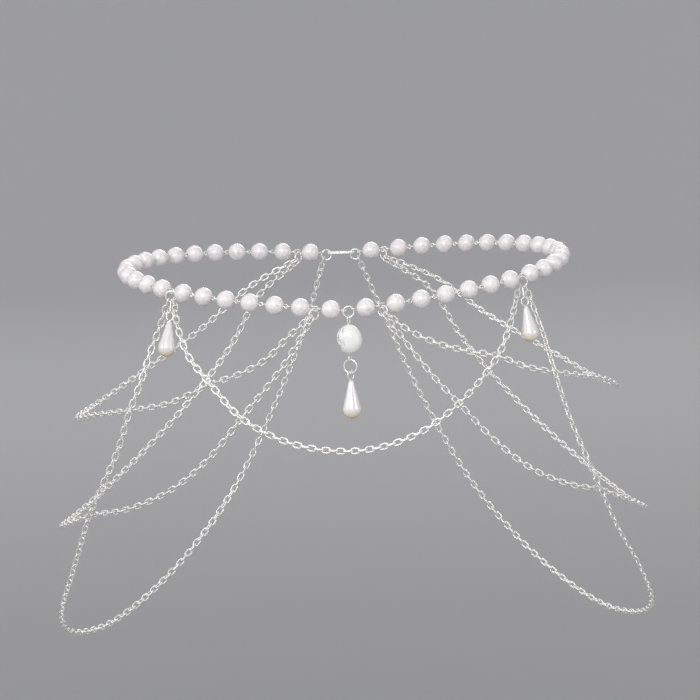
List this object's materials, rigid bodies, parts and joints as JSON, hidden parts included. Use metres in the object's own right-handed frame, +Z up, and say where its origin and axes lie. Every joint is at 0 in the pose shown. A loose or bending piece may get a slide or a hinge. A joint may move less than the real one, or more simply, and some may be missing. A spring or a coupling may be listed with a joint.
{
  "type": "worn waist chain",
  "caption": "Waist chain of drilled pearls on eye pins with jump rings, draped link chains, a front swag, a centre pendant and two side drops.",
  "frame": {"origin": "on the upright axis of the waist hollow, level with the front of the pearl string", "axes": "+Z up along the waist hollow, the front of the piece faces -Y, +X to the viewer's right"},
  "size_m": [0.3302, 0.2133, 0.217],
  "materials": {
    "pearl": "imitation pearl, soft gloss with a faint lilac tint",
    "drop_pearl": "imitation pearl, high gloss with a warm lower end",
    "stone": "white veined stone, satin",
    "silver": "bright silver plate"
  },
  "bodies": {
    "root": {"pearls": "pearl", "eye_pins": "silver", "center_ring": "silver", "front_ring_left": "silver", "front_ring_right": "silver", "side_ring_left": "silver", "side_ring_right": "silver", "back_ring_left": "silver", "back_ring_right": "silver", "end_ring_left": "silver", "end_ring_right": "silver", "clasp": "silver", "swag_chain": "silver", "upper_chain_left": "silver", "upper_chain_right": "silver", "lower_chain_left": "silver", "lower_chain_right": "silver", "long_chain_left": "silver", "long_chain_right": "silver", "side_link_left": "silver", "side_link_right": "silver", "side_eye_left": "silver", "side_eye_right": "silver", "side_drop_left": "drop_pearl", "side_drop_right": "drop_pearl"},
    "pendant": {"oval_pin": "silver", "oval_bead": "stone"},
    "drop_loop": {"drop_ring": "silver"},
    "drop": {"pendant_eye": "silver", "pendant_drop": "drop_pearl"}
  },
  "joints": [
    {"name": "pendant_swing", "type": "hinge", "parent": "root", "child": "pendant", "pos_m": [0.00149, -0.09421, -0.00372], "axis": [1, 0, 0], "range_deg": [-80, 80]},
    {"name": "ring_swing", "type": "hinge", "parent": "pendant", "child": "drop_loop", "pos_m": [0.00149, -0.09421, -0.02618], "axis": [0.9397, -0.342, 0], "range_deg": [-60, 60]},
    {"name": "drop_swing", "type": "hinge", "parent": "drop_loop", "child": "drop", "pos_m": [0.00149, -0.09421, -0.03328], "axis": [0.9397, -0.342, 0], "range_deg": [-60, 60]}
  ]
}
